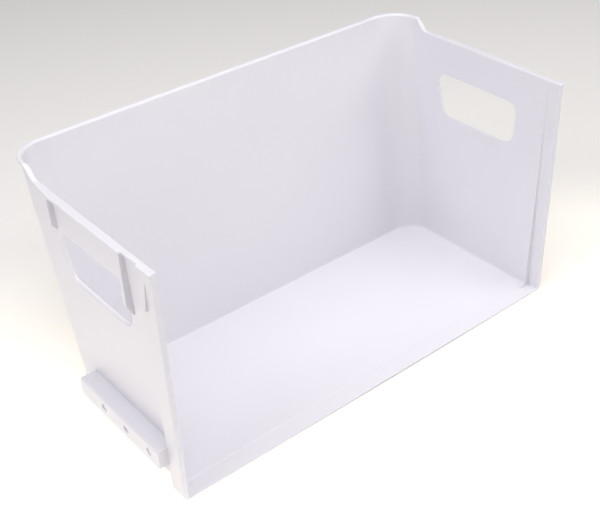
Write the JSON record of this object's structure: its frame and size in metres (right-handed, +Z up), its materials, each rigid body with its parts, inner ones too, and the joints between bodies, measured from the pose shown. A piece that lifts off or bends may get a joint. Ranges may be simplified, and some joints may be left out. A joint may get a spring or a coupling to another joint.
{
  "type": "freezer drawer body",
  "caption": "White moulded freezer drawer body with an open front, hand holes in its side walls, slide runners and a rim that rises to the back wall.",
  "frame": {"origin": "on the floor plane, under the middle of the drawer", "axes": "+X across the drawer, +Y from the open front to the back wall, +Z up"},
  "size_m": [0.4232, 0.2032, 0.221],
  "materials": {
    "body": "satin white moulded plastic"
  },
  "bodies": {
    "root": {"drawer_body": "body"}
  },
  "joints": []
}
